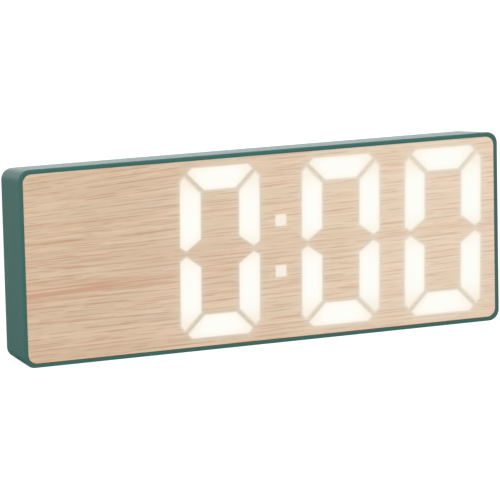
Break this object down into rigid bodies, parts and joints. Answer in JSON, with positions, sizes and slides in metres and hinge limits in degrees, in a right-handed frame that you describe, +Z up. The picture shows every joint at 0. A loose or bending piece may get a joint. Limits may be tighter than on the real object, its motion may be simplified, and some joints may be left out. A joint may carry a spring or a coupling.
{
  "type": "digital led desk clock",
  "caption": "Shallow desk clock in a drafted plastic case with a wood-grain film face, glowing segment digits and colon, rear keys, a power inlet and a hinged battery door.",
  "frame": {"origin": "centre of the bounding box at the flat underside", "axes": "+X to the right seen from the front, the lit face looks towards -Y, +Z up"},
  "size_m": [0.165, 0.02, 0.0624],
  "materials": {
    "case_plastic": "teal moulded plastic with a fine matte grain",
    "wood_film": "printed film, pale wood with fine horizontal grain",
    "segment_light": "lit segments, warm white",
    "clear_panel": "clear sheet",
    "black_tape": "black tape",
    "white_diffuser": "milky sheet",
    "white_reflector": "white moulded plastic",
    "circuit_board": "green solder mask on glass fibre",
    "light_chip": "cream light chips",
    "black_package": "black moulded plastic",
    "steel": "plated steel",
    "can_aluminium": "plain aluminium can",
    "brass_pins": "plated brass",
    "plunger_plastic": "black plunger",
    "key_plastic": "darker teal key caps",
    "cell_sleeve": "plain dark printed sleeve with bare metal ends",
    "contact_steel": "nickel-plated spring steel"
  },
  "bodies": {
    "case": {"housing": "case_plastic", "rear_cover": "case_plastic", "wood_film": "wood_film", "lit_segments": "segment_light", "front_panel": "clear_panel", "panel_tape": "black_tape", "diffuser_sheet": "white_diffuser", "display_reflector": "white_reflector", "main_board": "circuit_board", "led_chips": "light_chip", "driver_chip": "black_package", "clock_crystal": "steel", "smoothing_capacitor": "can_aluminium", "link_header": "black_package", "link_pins": "brass_pins", "link_socket": "black_package", "key_board": "circuit_board", "key_board_screws": "steel", "switch_bodies": "black_package", "usb_shell": "steel", "usb_tongue": "black_package", "sounder": "black_package", "cell_top": "cell_sleeve", "cell_middle": "cell_sleeve", "cell_bottom": "cell_sleeve", "cell_contacts": "contact_steel", "cover_screws": "steel"},
    "set_key": {"set_button": "key_plastic", "set_plunger": "plunger_plastic"},
    "up_key": {"up_button": "key_plastic", "up_plunger": "plunger_plastic"},
    "down_key": {"down_button": "key_plastic", "down_plunger": "plunger_plastic"},
    "door": {"battery_door": "case_plastic"}
  },
  "joints": [
    {"name": "set_key_press", "type": "slide", "parent": "case", "child": "set_key", "axis": [0, -1, 0], "range_m": [0, 0.0005], "stiffness_N_per_m": 400, "springref_m": -0.0005},
    {"name": "up_key_press", "type": "slide", "parent": "case", "child": "up_key", "axis": [0, -1, 0], "range_m": [0, 0.0005], "stiffness_N_per_m": 400, "springref_m": -0.0005},
    {"name": "down_key_press", "type": "slide", "parent": "case", "child": "down_key", "axis": [0, -1, 0], "range_m": [0, 0.0005], "stiffness_N_per_m": 400, "springref_m": -0.0005},
    {"name": "door_hinge", "type": "hinge", "parent": "case", "child": "door", "pos_m": [-0.018, 0.0084, 0.01425], "axis": [-1, 0, 0], "range_deg": [0, 88]}
  ]
}
